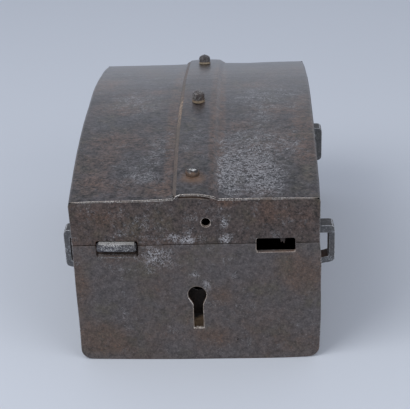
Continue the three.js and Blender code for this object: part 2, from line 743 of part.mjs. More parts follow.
function lidPlates() {
  const innerEdge = lidEdge - lidSheet * 0.7;
  const lowerEnd = lapEnd - lapHidden;
  const left = [...foldedEdge(-1, lidEdge, 0), [lowerEnd, archRadius], [lowerEnd, archRadius - lidSheet],
    ...foldedEdge(-1, innerEdge, lidSheet).reverse()];
  const joggle = (offset) => {
    const points = [];
    for (let k = 0; k <= joggleSteps; k++) {
      const part = k / joggleSteps;
      const drop = (1 - Math.cos(Math.PI * part)) / 2;
      points.push([lapEnd + joggleLength * part, archRadius + lapStep * (1 - drop) - offset]);
    }
    return points;
  };
  const upper = archRadius + lapStep;
  const right = [...foldedEdge(1, lidEdge, 0), ...joggle(0).reverse(), [lapEdge + lapBevel, upper],
    [lapEdge, upper - lidSheet * 0.7], [lapEdge, upper - lidSheet], ...joggle(lidSheet),
    ...foldedEdge(1, innerEdge, lidSheet).reverse()];
  addPiece("lid_plate_left", ridgeHoles(lidFlanges(turnedPlate(left), -1)), lidIron);
  addPiece("lid_plate_right", ridgeHoles(lidFlanges(turnedPlate(right.reverse()), 1)), lidIron);
}

function lidWall(side) {
  const y0 = side < 0 ? -halfDepth : wallFace;
  let wall = prism("y", lidWallOutline(), y0, y0 + sheet);
  for (const hand of [-1, 1]) wall = wall.subtract(windowCutter(hand, side));
  return drilled(wall, side, -halfWidth, halfWidth, bodyHeight, lidTop);
}

function lidWalls() {
  const drill = atEnd(roundBar(holeRadius, 4 * sheet, 0, fineSteps), holeX, bodyHeight + holeUp, -1);
  addPiece("lid_front_wall", lidWall(-1).subtract(solid(drill)), iron);
  addPiece("lid_rear_wall", lidWall(1), iron);
}

// Ridge rivets: a proud round end above the lap, a shank through both plates and a head below.
function ridgeRivets() {
  ["front", "middle", "rear"].forEach((place, i) => {
    const k = i - 1;
    const proud = k < 0 ? ridgeWorn : ridgeProud;
    const base = lapStep + seat;
    const under = -lidSheet - seat;
    const profile = [...dome(ridgeRadius, under, -rivetDome, 2).reverse(), [ridgeShank, under],
      [ridgeShank, base], [ridgeRadius, base], ...dome(ridgeRadius, base + proud - ridgeRound, ridgeRound, 3)];
    addPiece(`ridge_rivet_${place}`, solid(alongArch(turned(profile, ridgeSteps), k)), darkIron);
  });
}

// Lock
function studGeometry(fit) {
  const end = sheet + caseDepth - caseSheet / 4;
  return turned([[0, 0], [rivetHead + fit, 0], [studRadius + fit, rivetSink], [studRadius + fit, end], [0, end]],
    roundSteps);
}

function lockCase() {
  const back = caseBack - caseSheet / 2;
  const foot = seated(-1, caseSheet);
  const cheek = caseInside + caseSheet / 2;
  const toe = cheek + caseSheet / 2 + footWidth;
  const hat = strip([[-toe, foot], [-cheek, foot], [-cheek, back], [cheek, back], [cheek, foot], [toe, foot]],
    caseBend, caseSheet);
  let made = prism("z", hat, caseBottom, caseTop).translate([keyX, 0, 0]);
  const bend = cheek + caseSheet / 2;
  for (const hand of [-1, 1]) {
    const x0 = keyX + (hand < 0 ? -toe - past : bend);
    made = made.subtract(block(x0, x0 + toe + past - bend, -halfDepth, caseBack,
      caseBottom + footHeight, caseTop + past));
  }
  // The bolt's slots, the hole for the key's nose, the stud's hole and the slot for the spring's foot
  const y = -wallFace + boltY;
  const half = boltSheet / 2 + boltFit;
  made = made.subtract(block(keyX - toe, keyX + toe, y - half, y + half, boltBottom - boltFit, boltTop + boltFit));
  const springHalf = springWidth / 2 + boltFit;
  const springZ = springRest() + springRise;
  made = made.subtract(block(keyX - toe, keyX, y - springHalf, y + springHalf,
    springZ - springSheet / 2 - boltFit / 2, springZ + springSheet / 2 + boltFit / 2));
  const nose = roundBar(noseRadius, 4 * caseSheet, 0, fineSteps).translate(keyX, back, keyZ);
  made = made.subtract(solid(nose));
  made = made.subtract(solid(atEnd(studGeometry(rivetFit), keyX + studX, studZ, -1)));
  return drilled(made, -1, keyX - toe, keyX + toe, 0, caseBottom + footHeight);
}

function springRest() {
  return boltTop + springGap + springSheet / 2;
}

function lockBolt() {
  const y = -wallFace + boltY;
  const tip = caseInside + caseSheet + boltTip;
  const tail = caseInside + caseSheet + boltThrow + boltGuide;
  const talon = -boltThrow / 2;
  const outline = new THREE.Shape();
  outline.moveTo(-tail, boltBottom);
  outline.lineTo(talon - talonWidth / 2, boltBottom);
  outline.lineTo(talon - talonWidth / 2, boltBottom + talonDepth);
  outline.lineTo(talon + talonWidth / 2, boltBottom + talonDepth);
  outline.lineTo(talon + talonWidth / 2, boltBottom);
  outline.lineTo(tip, boltBottom);
  outline.lineTo(tip, boltTop);
  outline.lineTo(-tail, boltTop);
  const half = studRadius + studFit;
  const slotCorner = half * 0.98;
  const slot = roundedRectangle(studX - boltThrow - half, studX + half, studZ - half, studZ + half, slotCorner);
  outline.holes.push(slot);
  return prism("y", outline, y - boltSheet / 2, y + boltSheet / 2).translate([keyX, 0, 0]);
}

// A bowed strip whose belly bears on the bolt. Its foot hooks through a slot in the left cheek.
function lockSpring() {
  const y = -wallFace + boltY;
  const foot = -caseInside - caseSheet - seat - springSheet / 2;
  const rest = springRest();
  const high = rest + springRise;
  const outline = strip([[foot, high + springHook], [foot, high], [springStart - caseInside, high],
    [springBelly, rest], [caseInside - springEnd, high]], springBends, springSheet);
  return prism("y", outline, y - springWidth / 2, y + springWidth / 2).translate([keyX, 0, 0]);
}

// A ring round the keyhole that the key's bit must pass, open below for the bit.
function lockWard() {
  const outline = new THREE.Shape();
  const open = THREE.MathUtils.degToRad(wardOpening / 2);
  outline.absarc(keyX, keyZ, wardRadius + wardSheet, open - Math.PI / 2, Math.PI * 1.5 - open);
  outline.absarc(keyX, keyZ, wardRadius, Math.PI * 1.5 - open, open - Math.PI / 2, true);
  return prism("y", outline, seat - wallFace, seat + wardDepth - wallFace, fineSteps / 2);
}

function lock() {
  addPiece("lock_case", lockCase(), lockIron);
  addPiece("lock_bolt", lockBolt(), steel);
  addPiece("lock_spring", lockSpring(), steel);
  addPiece("lock_ward", lockWard(), lockIron);
  addPiece("lock_stud", solid(atEnd(studGeometry(0), keyX + studX, studZ, -1)), iron);
}

// The lid's hook hangs behind the front wall, and the bolt shoots over its foot.
function lidHook() {
  const flat = seated(-1, hookSheet);
  const y = -wallFace + boltY;
  const room = boltSheet / 2 + hookPlay + hookSheet / 2;
  const front = Math.max(flat + hookCrank, y - room);
  const foot = boltBottom - hookPlay - hookSheet / 2;
  const outline = strip([[flat, bodyHeight + leafUp], [flat, bodyHeight + hookStep[0]],
    [front, bodyHeight + hookStep[1]], [front, foot], [y + room, foot], [y + room, boltTop + hookProng]],
    hookBend, hookSheet);
  const middle = keyX + hookX;
  const hook = prism("x", outline, middle - hookWidth / 2, middle + hookWidth / 2);
  return drilled(hook, -1, middle - hookWidth / 2, middle + hookWidth / 2, bodyHeight, lidTop);
}

placeRivets();
bodyWrap();
bodyPlates();
strapLoops();
hinges();
lidPlates();
lidWalls();
ridgeRivets();
addPiece("front_lug", frontLug(), steel);
addPiece("broken_leaf", brokenLeaf(), darkIron);
addPiece("lid_hook", lidHook(), darkIron);
lock();

export default box;
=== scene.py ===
"""Looks of a small forged iron strongbox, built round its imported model. Lengths are in metres."""

import json
import math

import bmesh
import bpy
from mathutils import Matrix, Vector, noise

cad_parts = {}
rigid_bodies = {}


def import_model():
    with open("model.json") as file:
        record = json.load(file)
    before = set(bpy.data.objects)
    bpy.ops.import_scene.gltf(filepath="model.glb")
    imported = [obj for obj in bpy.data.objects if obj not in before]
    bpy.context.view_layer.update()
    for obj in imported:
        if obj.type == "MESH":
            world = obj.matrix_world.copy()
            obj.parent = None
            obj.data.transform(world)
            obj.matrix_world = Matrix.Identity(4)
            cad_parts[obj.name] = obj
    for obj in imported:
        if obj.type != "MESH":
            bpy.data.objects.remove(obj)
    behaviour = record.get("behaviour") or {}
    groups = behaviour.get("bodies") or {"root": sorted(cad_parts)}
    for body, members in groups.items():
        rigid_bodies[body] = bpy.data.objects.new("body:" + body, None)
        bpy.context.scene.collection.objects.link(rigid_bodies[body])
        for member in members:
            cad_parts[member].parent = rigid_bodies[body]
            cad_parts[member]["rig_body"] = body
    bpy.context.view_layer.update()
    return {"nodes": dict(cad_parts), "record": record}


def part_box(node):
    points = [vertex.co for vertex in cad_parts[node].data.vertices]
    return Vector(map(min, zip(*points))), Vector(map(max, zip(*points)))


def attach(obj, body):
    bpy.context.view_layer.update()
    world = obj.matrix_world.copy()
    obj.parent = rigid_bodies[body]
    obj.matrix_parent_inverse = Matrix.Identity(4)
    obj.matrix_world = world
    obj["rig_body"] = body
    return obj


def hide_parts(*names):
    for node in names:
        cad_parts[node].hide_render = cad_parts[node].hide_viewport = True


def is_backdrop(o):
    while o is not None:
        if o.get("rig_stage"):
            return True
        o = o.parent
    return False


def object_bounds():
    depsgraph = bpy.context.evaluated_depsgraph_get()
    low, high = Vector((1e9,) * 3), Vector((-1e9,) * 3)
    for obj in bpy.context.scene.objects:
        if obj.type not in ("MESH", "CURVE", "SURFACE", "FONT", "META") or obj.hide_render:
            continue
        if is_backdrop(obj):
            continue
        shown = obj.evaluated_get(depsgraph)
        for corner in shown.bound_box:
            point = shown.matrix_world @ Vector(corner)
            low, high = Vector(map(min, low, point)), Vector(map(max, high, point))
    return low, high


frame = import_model()
MM = 0.001
NOISE_SEED = 1205  # without it the noise is seeded by the clock, and the waviness changes from run to run
noise.seed_set(NOISE_SEED)

# Small helpers


def linear(hexa):
    """A colour written as an sRGB hex value, as linear red, green, blue and alpha."""
    parts = [int(hexa[i : i + 2], 16) / 255 for i in (0, 2, 4)]
    light = [c / 12.92 if c <= 0.04045 else ((c + 0.055) / 1.055) ** 2.4 for c in parts]
    return (*light, 1.0)


def add_node(tree, kind, settings=None, inputs=None):
    """Adds a shader node. An input given as a node or a socket is linked, and any other is its value."""
    node = tree.nodes.new("ShaderNode" + kind)
    for name, value in (settings or {}).items():
        setattr(node, name, value)
    for name, value in (inputs or {}).items():
        by_name = [s for s in node.inputs if s.enabled and s.name == name]
        socket = by_name[0] if by_name else node.inputs[name]
        if isinstance(value, bpy.types.Node):
            value = next(s for s in value.outputs if s.enabled)
        if isinstance(value, bpy.types.NodeSocket):
            tree.links.new(value, socket)
        else:
            socket.default_value = value
    return node


def new_material(name):
    """A material that has no nodes yet, and its node tree."""
    material = bpy.data.materials.new(name)
    material.use_nodes = True
    material.node_tree.nodes.clear()
    return material, material.node_tree


# Materials

# Settings that many nodes share
SMOOTH = {"interpolation_type": "SMOOTHSTEP"}
COLOURS = {"data_type": "RGBA"}
LAYERED = {"noise_dimensions": "4D"}  # each value of W is a pattern of its own

# Sizes of the patterns on the iron
CLOUD = 26 * MM  # patches of brown rust
HAZE = 17 * MM  # patches of grime, and of handling
MOTTLE = 2.6 * MM  # scale broken up by the hammer
PATCH = 3.6 * MM  # places where the scale has gone
# Real pits are up to 0.8 mm and real grit is under 0.3 mm. That is too fine to show in the render, where a
# pixel is half a mm, so both are drawn this coarse.
PIT = 1.5 * MM
GRIT = 0.9 * MM
FORGE_RELIEF = 0.35 * MM  # how deep the pits and the grain are
SWAY_SIZE = 10 * MM  # of the noise that moves the outlines of worn and browned places
SWAY = Vector((9, 9, 9)) * MM  # how far it moves them

PIT_RUST = "2d2725"
RED_FRECKLE = "705748"


def add_places(tree, where, places, total):
    """Adds soft round places to a value. Each has its middle and its reach in mm, and its strength."""
    for middle, reach, strength in places:
        inside = add_node(tree, "Mapping", {"vector_type": "TEXTURE"}, {
            "Vector": where, "Location": Vector(middle) * MM, "Scale": Vector(reach) * MM})
        fade = add_node(tree, "TexGradient", {"gradient_type": "SPHERICAL"}, {"Vector": inside})
        total = add_node(tree, "Math", {"operation": "MULTIPLY_ADD"},
                         {0: fade.outputs["Fac"], 1: strength, 2: total})
    return total


def wrought_iron(name, skin, brown, olive, bare, gloss=0.5, wax=0.3, wear=0.12, rust=0.0, rub=1.35, grain=1.0,
                 drawn=1.0, browned=(), banded=(), rubbed=(), stained=(), stain=None):
    """Iron hammered out by hand. Its scale, of the colour skin, is cloudy, browned by rust, dulled by olive
    grime, finely pitted, and rubbed through to squiggles of bare metal about rub mm apart. gloss is its
    roughness, wax is how much clear wax lies on it, and wear and rust are how much of each it has all over.
    grain is how strong its grain is, and drawn is how far that runs out from left to right. browned, banded,
    rubbed and stained are places."""
    material, tree = new_material(name)
    place = add_node(tree, "TexCoord").outputs["Object"]
    sway = add_node(tree, "TexNoise", {}, {"Vector": place, "Scale": 1 / SWAY_SIZE, "Detail": 3.0})
    shift = add_node(tree, "VectorMath", {"operation": "SUBTRACT"}, {
        0: sway.outputs["Color"], 1: (0.5, 0.5, 0.5)})
    swayed = add_node(tree, "VectorMath", {"operation": "MULTIPLY_ADD"}, {0: shift, 1: SWAY, 2: place})
    grained = add_node(tree, "Mapping", {}, {"Vector": place, "Scale": (1 / drawn, 1, 1)})

    # Clouds of brown rust and of olive grime over the scale
    cloud = add_node(tree, "TexNoise", LAYERED, {
        "Vector": place, "W": 1.0, "Scale": 1 / CLOUD, "Detail": 6.0, "Roughness": 0.66})
    haze = add_node(tree, "TexNoise", LAYERED, {
        "Vector": place, "W": 5.0, "Scale": 1 / HAZE, "Detail": 6.0, "Roughness": 0.68})
    total = add_node(tree, "Math", {"operation": "ADD"}, {0: cloud, 1: rust})
    total = add_places(tree, swayed, browned, total)
    total = add_places(tree, place, banded, total)
    rusted = add_node(tree, "MapRange", SMOOTH, {
        "Value": total, "From Min": 0.4, "From Max": 0.78, "To Max": 0.95})
    tint = add_node(tree, "Mix", COLOURS, {0: rusted, "A": linear(skin), "B": linear(brown)})
    grimed = add_node(tree, "MapRange", SMOOTH, {
        "Value": haze, "From Min": 0.48, "From Max": 0.7, "To Max": 0.75})
    tint = add_node(tree, "Mix", COLOURS, {0: grimed, "A": tint, "B": linear(olive)})

    # Mottle, grain, pits, and red freckles where it is rusted
    mottle = add_node(tree, "TexNoise", LAYERED, {
        "Vector": grained, "W": 2.0, "Scale": 1 / MOTTLE, "Detail": 5.0, "Roughness": 0.75})
    grit = add_node(tree, "TexNoise", LAYERED, {
        "Vector": grained, "W": 3.0, "Scale": 1 / GRIT, "Detail": 2.0, "Roughness": 0.7})
    grains = add_node(tree, "Math", {"operation": "MULTIPLY_ADD"}, {0: grit, 1: 0.9, 2: mottle})
    tone = add_node(tree, "MapRange", {}, {"Value": grains, "From Min": 0.75, "From Max": 1.15,
                                           "To Min": 1 - 0.32 * grain, "To Max": 1 + 0.32 * grain})
    toned = add_node(tree, "VectorMath", {"operation": "SCALE"}, {0: tint, "Scale": tone})
    pitted = add_node(tree, "TexNoise", LAYERED, {
        "Vector": place, "W": 7.0, "Scale": 1 / PIT, "Detail": 3.0, "Roughness": 0.6})
    pits = add_node(tree, "MapRange", SMOOTH, {
        "Value": pitted, "From Min": 0.58, "From Max": 0.74, "To Max": 0.6})
    toned = add_node(tree, "Mix", COLOURS, {0: pits, "A": toned, "B": linear(PIT_RUST)})
    freckled = add_node(tree, "MapRange", SMOOTH, {
        "Value": pitted, "From Min": 0.44, "From Max": 0.3, "To Max": 0.6})
    freckles = add_node(tree, "Math", {"operation": "MULTIPLY"}, {0: freckled, 1: rusted})
    toned = add_node(tree, "Mix", COLOURS, {0: freckles, "A": toned, "B": linear(RED_FRECKLE)})

    # Stains, over all of that
    if stained:
        share = add_places(tree, swayed, stained, 0.0)
        share = add_node(tree, "MapRange", SMOOTH, {
            "Value": share, "From Min": 0.05, "From Max": 0.75, "To Max": 0.8})
        toned = add_node(tree, "Mix", COLOURS, {0: share, "A": toned, "B": linear(stain)})

    # Squiggles and flecks of bare metal, thick where the box is rubbed, with darker scale between them
    handled = add_node(tree, "MapRange", SMOOTH, {
        "Value": haze, "From Min": 0.66, "From Max": 0.36, "To Max": wear})
    weight = add_places(tree, swayed, rubbed, handled)
    curled = add_node(tree, "TexNoise", LAYERED, {
        "Vector": grained, "W": 9.0, "Scale": 1 / (rub * MM), "Detail": 2.0, "Roughness": 0.5,
        "Distortion": 1.2})
    off_line = add_node(tree, "Math", {"operation": "SUBTRACT"}, {0: curled, 1: 0.5})
    off_line = add_node(tree, "Math", {"operation": "ABSOLUTE"}, {0: off_line})
    lines = add_node(tree, "MapRange", SMOOTH, {
        "Value": off_line, "From Min": 0.07, "From Max": 0.012})
    patchy = add_node(tree, "TexNoise", LAYERED, {
        "Vector": grained, "W": 11.0, "Scale": 1 / PATCH, "Detail": 4.0, "Roughness": 0.7})
    there = add_node(tree, "Math", {"operation": "MULTIPLY_ADD"}, {0: weight, 1: 0.3, 2: patchy})
    there = add_node(tree, "MapRange", SMOOTH, {
        "Value": there, "From Min": 0.54, "From Max": 0.86})
    between_lines = add_node(tree, "MapRange", {}, {"Value": there, "To Min": 1.0, "To Max": 0.6})
    toned = add_node(tree, "VectorMath", {"operation": "SCALE"}, {0: toned, "Scale": between_lines})
    lines = add_node(tree, "Math", {"operation": "MULTIPLY"}, {0: lines, 1: there})
    flecked = add_node(tree, "Math", {"operation": "MULTIPLY_ADD"}, {0: weight, 1: 0.1, 2: grit})
    flecks = add_node(tree, "MapRange", SMOOTH, {
        "Value": flecked, "From Min": 0.66, "From Max": 0.82, "To Max": 0.7})
    specks = add_node(tree, "Math", {"operation": "MAXIMUM"}, {0: lines, 1: flecks})
    bareness = add_node(tree, "MapRange", {}, {
        "Value": weight, "From Max": 0.7, "To Min": 0.4, "To Max": 0.9})
    specks = add_node(tree, "Math", {"operation": "MULTIPLY"}, {0: specks, 1: bareness})
    colour = add_node(tree, "Mix", COLOURS, {0: specks, "A": toned, "B": linear(bare)})

    # Gloss and relief: bare metal is smoother and more of a metal than scale, and pits lie deep
    satin = add_node(tree, "MapRange", {}, {
        "Value": mottle, "From Min": 0.3, "From Max": 0.7, "To Min": gloss - 0.07, "To Max": gloss + 0.1})
    rough = add_node(tree, "Math", {"operation": "MULTIPLY_ADD"}, {0: specks, 1: -0.1, 2: satin})
    metal = add_node(tree, "Math", {"operation": "MULTIPLY"}, {0: specks, 1: 0.4})
    relief = add_node(tree, "Math", {"operation": "MULTIPLY_ADD"}, {0: pits, 1: -0.4, 2: grains})
    bump = add_node(tree, "Bump", {}, {"Height": relief, "Strength": 0.6, "Distance": FORGE_RELIEF})
    shader = add_node(tree, "BsdfPrincipled", {}, {
        "Base Color": colour, "Metallic": metal, "Roughness": rough, "Normal": bump,
        "Specular IOR Level": 0.3, "Coat Weight": wax, "Coat Roughness": 0.3, "Coat IOR": 1.3})
    add_node(tree, "OutputMaterial", {}, {"Surface": shader})
    return material


GREY_SCALE = "504b4b"
BROWN_RUST = "54463e"
OLIVE_GRIME = "4c473d"
BARE_IRON = "b3b1b3"
RIVET_STAIN = "67503f"

# Places on the front and on the lid: the middle and the reach of each, in mm, and its strength
FRONT_RUBBED = [
    ((-25, -99, 66), (46, 12, 26), 0.2), ((-5, -99, 68), (14, 6, 3.2), 1.1),
    ((-20, -99, 57), (13, 6, 8), 0.9), ((-21, -99, 75), (12, 6, 6), 0.5),
    ((-34, -99, 71), (9, 6, 4), 0.4), ((-36, -99, 53), (9, 6, 4), 0.4),
    ((15, -99, 77), (3.5, 6, 5), 1.0), ((15, -99, 68), (6, 6, 3.6), 0.9),
    ((16, -99, 56), (6, 6, 3), 0.6), ((19, -99, 48), (3, 6, 4), 0.6),
    ((5.5, -99, 42), (4, 6, 4), 0.9), ((0, -99, 47), (4, 6, 4), 0.6),
    ((-36, -99, 24), (7, 6, 8), 0.5), ((23, -99, 30), (8, 6, 5), 0.4),
    ((-12, -99, 18), (9, 6, 4), 0.4), ((7, -99, 31), (4, 6, 5), 0.4),
]
FRONT_BROWNED = [
    ((-44, -99, 80), (18, 10, 11), 0.3), ((-48, -99, 12), (18, 10, 12), 0.3),
    ((-58, -99, 36), (8, 10, 34), 0.22), ((14, -99, 87), (9, 10, 4), 0.4),
    ((40, -99, 80), (22, 10, 9), 0.16), ((12, -99, 36), (9, 10, 7), 0.2),
    ((3, -99, 12), (22, 10, 8), 0.2), ((-20, -99, 40), (14, 10, 9), 0.2),
    ((49, -99, 48), (13, 10, 15), 0.22), ((48, -99, 11), (16, 10, 9), 0.22),
    # The next place, just under the bar's window, is browned as painted shade under the bar.
    ((-38, -99, 59), (13, 10, 4), 0.3),
]
LID_RUBBED = [
    ((29, -64, 96), (23, 46, 20), 1.0), ((16, -76, 94), (8, 32, 12), 1.0),
    ((32, -86, 93), (20, 20, 12), 0.8), ((36, -4, 102), (26, 34, 12), 0.7),
    ((49, -56, 98), (8, 20, 12), 0.6), ((-34, -6, 102), (20, 22, 10), 0.7),
    ((-18, -56, 98), (12, 22, 12), 0.6), ((-29, -80, 93), (14, 18, 12), 0.6),
    ((-1, -50, 98), (8, 34, 14), 0.4), ((-40, 34, 100), (20, 26, 10), 0.2),
]
LID_BROWNED = [
    ((-48, -50, 98), (16, 50, 18), 0.16), ((-45, -90, 91), (20, 12, 8), 0.2),
    ((-16, -91, 90), (14, 8, 6), 0.3), ((0, -85, 94), (7, 7, 5), 0.5),
    ((55, -50, 98), (9, 60, 20), 0.2), ((-42, -14, 102), (20, 11, 10), 0.3),
    ((-20, 12, 103), (15, 9, 9), 0.25), ((44, -18, 102), (17, 9, 9), 0.3),
    ((28, 18, 103), (18, 9, 9), 0.25), ((22, -34, 101), (9, 8, 9), 0.25),
    ((-50, 30, 100), (14, 14, 9), 0.25),
]
LID_BANDED = [((-12.5, -10, 103), (4, 130, 40), 0.4), ((10.3, -10, 103), (5, 130, 40), 0.6)]

# The sheets: cold grey scale under brown rust and grime, so the eye sees a dull mottle with bright squiggles
# where handling rubbed it.
body_iron = wrought_iron(
    "wrought_iron_forge_scale", GREY_SCALE, BROWN_RUST, OLIVE_GRIME, BARE_IRON, grain=1.4,
    browned=FRONT_BROWNED, rubbed=FRONT_RUBBED)
# The lid's front wall is darker than the body and more broken up.
front_iron = wrought_iron(
    "wrought_iron_lid_front_scale", "443b38", "513e34", "474034", BARE_IRON, wear=0.3, grain=2.2,
    browned=FRONT_BROWNED, rubbed=FRONT_RUBBED)
# The lid's top faces the light: nearly black scale under wax, with a satin sheen, brown bands beside the lap
# and grey where it was polished by use. Its skin is darker than that of the lid's sides, as painted shade
# against the light and sheen on the top. Its grain is drawn out across the lid, as the hammer drew it.
lid_iron = wrought_iron(
    "wrought_iron_lid_scale_and_painted_shade", "363437", "4a3b34", "403c32", "98979a", gloss=0.42, wax=1.0, wear=0.25,
    grain=3.2, drawn=1.6, browned=LID_BROWNED, banded=LID_BANDED, rubbed=LID_RUBBED,
    stained=[((-1, -86.5, 94), (8, 8.5, 6), 1.0)], stain=RIVET_STAIN)
# The loops are bar iron, bent hot: smoother, blue-grey, and paler than the sheets.
loop_iron = wrought_iron(
    "wrought_iron_blued_by_the_forge", "5c5d60", "605852", "5a5a54", "c9ccd0", gloss=0.34, wear=0.6,
    rust=-0.08, grain=0.9)
# Their corners are rubbed to pale metal, a thin bright line.
loop_edge = wrought_iron(
    "wrought_iron_loop_corner", "a2a5a9", "968f88", "94948d", "e8eaec", gloss=0.3, wear=1.4, rust=-0.08)
# Their tops are painted dark and dull, as painted shade that offsets the light falling on them from above.
loop_top_shade = wrought_iron(
    "wrought_iron_loop_top_painted_shade", "3b3b3d", "40372f", "3c3a32", "9fa1a4", gloss=0.5, wear=0.3)
# The heads of the ridge rivets are polished by use: dark and glossy, with broad bright rubs.
rivet_iron = wrought_iron(
    "wrought_iron_rivet_head", "464243", "50443d", "454139", "d0d0ce", gloss=0.26, wax=0.2, wear=0.45,
    rub=2.2, grain=0.7)
# The front one is worn low, and is nearly black with a rusty front. Its one glint is a painted highlight,
# given as a rubbed place.
low_rivet = wrought_iron(
    "wrought_iron_rivet_worn_low", "262425", "3a2f29", "302d28", "f2f2f0", gloss=0.3, wear=0.1,
    rubbed=[((-1.6, -83.4, 96.9), (2.8, 1.2, 2), 6.0)],
    stained=[((-0.8, -87.5, 96), (6, 2.8, 4), 1.6)], stain=RIVET_STAIN)
# The inside was never polished: matt brown rust. The same skin is painted shade on sills, gaps and hollows
# outside, and its stain is a painted shadow, nearly black, behind the bar.
inside_rust_and_shade = wrought_iron(
    "wrought_iron_rust_and_painted_shade", "3c322d", "5a4032", "463a2c", "8a8480", gloss=0.62, wear=0.1, rust=0.1,
    stained=[((-38, -99, 60), (17, 5, 5), 1.6)], stain="231b14")
# The lock is rusted dark too. The pale tan on the plate behind the keyhole's foot is painted light, where
# light through the keyhole falls on it.
lock_iron = wrought_iron(
    "wrought_iron_lock_plate_and_painted_light", "332a26", "5a4332", "40352a", "8a8480", gloss=0.6, wear=0.1,
    stained=[((0.8, -92, 13), (8, 7, 10), 2.5)], stain="e8c095")
# Corners of the sheets: scale worn thin, so a soft grey line.
rubbed_edge = wrought_iron(
    "wrought_iron_rubbed_corner", "5b5756", "6a584d", "5a574b", "b4b1af", gloss=0.42, wear=1.0)
# Rims of the keyhole, the small hole and the right window: filed, then worn by keys, so pale and warm. The
# keyhole's upward-facing foot is painted paler still, partly as a painted highlight of the light from above.
filed_edge = wrought_iron(
    "wrought_iron_filed_rim", "8f8278", "7c6757", "7b7162", "e2dad2", gloss=0.45, wear=0.8,
    rubbed=[((-4, -99, 33), (4, 4, 6), 3.0), ((2, -98, 17), (5, 4, 2), 3.0)])
# The lid's lips at the front and the rear take every knock, and shine as a pale broken line.
lid_lip = wrought_iron(
    "wrought_iron_lip_worn_bright", "9c9189", "857366", "8b8176", "dcd6d0", gloss=0.4, wear=1.6)
# The upper plate's cut edge along the lap: shear-cut and browned, rubbed bright in the middle of the lid.
cut_edge = wrought_iron(
    "wrought_iron_cut_edge", "58504b", "655247", "585044", "b3997f", gloss=0.5, wear=0.3,
    rubbed=[((-9.6, -20, 101), (4, 24, 6), 2.2)])
# The bar is steel rubbed bright: dark hollows and near-white streaks side by side, with a clear gloss.
bar_steel = wrought_iron(
    "steel_bar_rubbed_bright", "3c3b40", "443f3b", "3f3e3b", "d0cfce", gloss=0.32, wear=0.95, rust=-0.08,
    rub=1.5, grain=2.4, rubbed=[((-31, -102, 63), (7, 6, 6), 0.6)])
# Its top is painted pale all along, a painted highlight where the light catches it.
bar_top_highlight = wrought_iron(
    "steel_bar_top_painted_highlight", "9a9998", "938a80", "92908a", "e6e5e3", gloss=0.3, wear=1.4, rust=-0.08)
# Round the feet of the ridge rivets rust has crept out of the joint: a matt tan ring, painted paler than the
# rust as painted light, which takes out the shade at the foot.
rust_and_lit_foot = wrought_iron(
    "wrought_iron_rust_stained", "7f7260", "76604d", "787058", "cbbd98", gloss=0.5, wear=0.4)
# At the front rivet that ring is darker, and merges into its stain.
low_base = wrought_iron(
    "wrought_iron_rust_stained_low", "56473c", "634a3b", "54483b", "a89888", gloss=0.65, wear=0.1)

# Pieces

HALF_WIDTH, HALF_DEPTH = 60, 99  # of the box, in mm
SEAM = 66  # just above the seam between body and lid, in mm
BOX_MIDDLE = Vector((0, 0, 48)) * MM
FRONT_Y = -HALF_DEPTH * MM
ARCH_RADIUS = 357.04 * MM  # of the lid's arch, from its centre to the top of the lower plate
ARCH_CENTRE = -254.84 * MM  # how high that centre is
LAP_STEP = 2 * MM  # how far the upper plate stands over the lower one


def between(low, value, high):
    """How far a value has come from low to high, from 0 to 1."""
    return min(1.0, max(0.0, (value - low) / (high - low)))


def hump(value, middle, reach):
    """A soft hump: 1 at its middle, and almost 0 at twice its reach."""
    return math.exp(-(((value - middle) / reach) ** 2))


# Waves of the plates: how long and how high they are
LONG_WAVE, LONG_RISE = 42 * MM, 0.42
SHORT_WAVE, SHORT_RISE = 13 * MM, 0.12
OTHER_WAVES = Vector((7.0, 3.0, 5.0))  # so that the short waves don't follow the long ones
AT_HINGES = 0.03  # the share of the waves that is left at the hinges, whose leaves have to clear their pins


